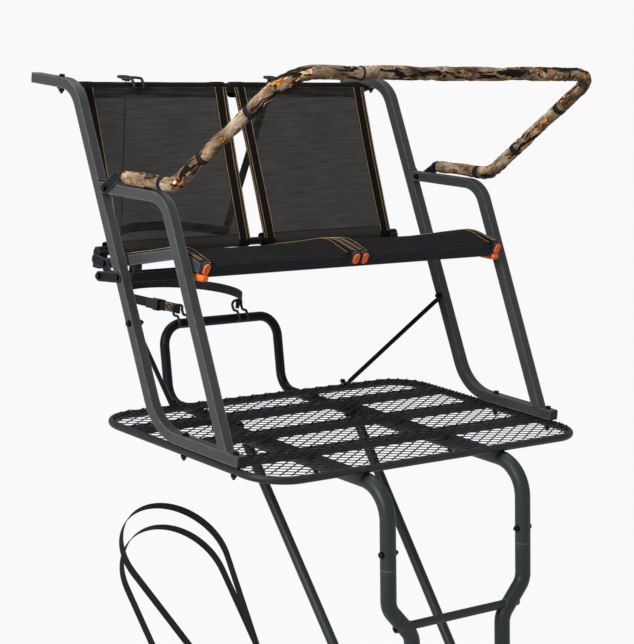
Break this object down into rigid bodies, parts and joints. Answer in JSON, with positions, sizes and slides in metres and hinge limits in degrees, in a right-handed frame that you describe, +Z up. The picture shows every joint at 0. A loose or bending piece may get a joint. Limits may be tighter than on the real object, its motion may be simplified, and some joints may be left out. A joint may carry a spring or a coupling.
{
  "type": "ladder tree stand",
  "caption": "Ladder tree stand with a mesh platform, side-by-side flip-up sling seats, fabric backrests and a padded flip-back shooting rail.",
  "frame": {"origin": "on the ground, midway between the ladder's two feet", "axes": "+Z up, +Y from the ladder towards the tree, +X to the sitter's right as seen from behind the seats"},
  "size_m": [1.0756, 1.7359, 4.5135],
  "materials": {
    "frame_paint": "semi-matt dark grey powder coat",
    "platform_paint": "matt charcoal powder coat",
    "mesh_paint": "matt charcoal powder coat",
    "ladder_paint": "matt charcoal powder coat",
    "bar_paint": "satin black paint",
    "seat_rail_paint": "semi-matt dark grey powder coat",
    "cap_plastic": "moulded orange plastic",
    "sling_fabric": "charcoal open-weave polyester",
    "padding_fabric": null,
    "elastic": "black elastic",
    "webbing": "black polypropylene webbing",
    "strap_steel": "black coated steel",
    "bolt_steel": "zinc plated steel",
    "bumper_rubber": "black rubber",
    "foot_plastic": "black ribbed rubber"
  },
  "bodies": {
    "stand": {"buckle_frame": "strap_steel", "crossed_stay_strap": "webbing", "ladder_feet": "foot_plastic", "ladder_rungs": "ladder_paint", "left_arm": "frame_paint", "left_backrest": "sling_fabric", "left_hinge_bracket": "bar_paint", "left_ladder_rail_lower": "ladder_paint", "left_ladder_rail_middle": "ladder_paint", "left_ladder_rail_upper": "ladder_paint", "left_ladder_strut": "ladder_paint", "left_ladder_top": "ladder_paint", "left_side_frame": "frame_paint", "left_tie_rod": "bar_paint", "low_back_bar": "bar_paint", "lower_strap": "webbing", "pivot_bolts": "bolt_steel", "platform_crossbar_1": "platform_paint", "platform_crossbar_2": "platform_paint", "platform_crossbar_3": "platform_paint", "platform_mesh_lower": "mesh_paint", "platform_mesh_upper": "mesh_paint", "platform_rim": "platform_paint", "right_arm": "frame_paint", "right_backrest": "sling_fabric", "right_hinge_bracket": "bar_paint", "right_ladder_rail_lower": "ladder_paint", "right_ladder_rail_middle": "ladder_paint", "right_ladder_rail_upper": "ladder_paint", "right_ladder_strut": "ladder_paint", "right_ladder_top": "ladder_paint", "right_side_frame": "frame_paint", "right_tie_rod": "bar_paint", "seat_bumpers": "bumper_rubber", "seat_center_bracket": "bar_paint", "seat_rest_bar": "bar_paint", "stay_strap": "webbing", "strap_hooks": "strap_steel", "top_crossbar": "bar_paint", "tree_brace": "bar_paint", "upper_strap": "webbing"},
    "left_seat": {"left_seat_caps": "cap_plastic", "left_seat_front_bar": "bar_paint", "left_seat_inner_rail": "seat_rail_paint", "left_seat_outer_rail": "seat_rail_paint", "left_seat_rear_bar": "bar_paint", "left_seat_sling": "sling_fabric"},
    "right_seat": {"right_seat_caps": "cap_plastic", "right_seat_front_bar": "bar_paint", "right_seat_inner_rail": "seat_rail_paint", "right_seat_outer_rail": "seat_rail_paint", "right_seat_rear_bar": "bar_paint", "right_seat_sling": "sling_fabric"},
    "rail": {"pad_ties": "elastic", "rail_padding": "padding_fabric", "shooting_rail": "bar_paint"},
    "buckle_cam": {"buckle_lever": "strap_steel"}
  },
  "joints": [
    {"name": "right_seat_flip", "type": "hinge", "parent": "stand", "child": "right_seat", "pos_m": [0.25, 1.19656, 3.969], "axis": [-1, 0, 0], "range_deg": [0, 90]},
    {"name": "left_seat_flip", "type": "hinge", "parent": "stand", "child": "left_seat", "pos_m": [-0.25, 1.19656, 3.969], "axis": [-1, 0, 0], "range_deg": [0, 90]},
    {"name": "rail_flip", "type": "hinge", "parent": "stand", "child": "rail", "pos_m": [0, 1.16756, 4.15827], "axis": [-1, 0, 0], "range_deg": [0, 90]},
    {"name": "cam_release", "type": "hinge", "parent": "stand", "child": "buckle_cam", "pos_m": [-0.15627, 1.43519, 3.7995], "axis": [0, 0, 1], "range_deg": [0, 45], "stiffness_Nm_per_rad": 0.02}
  ]
}
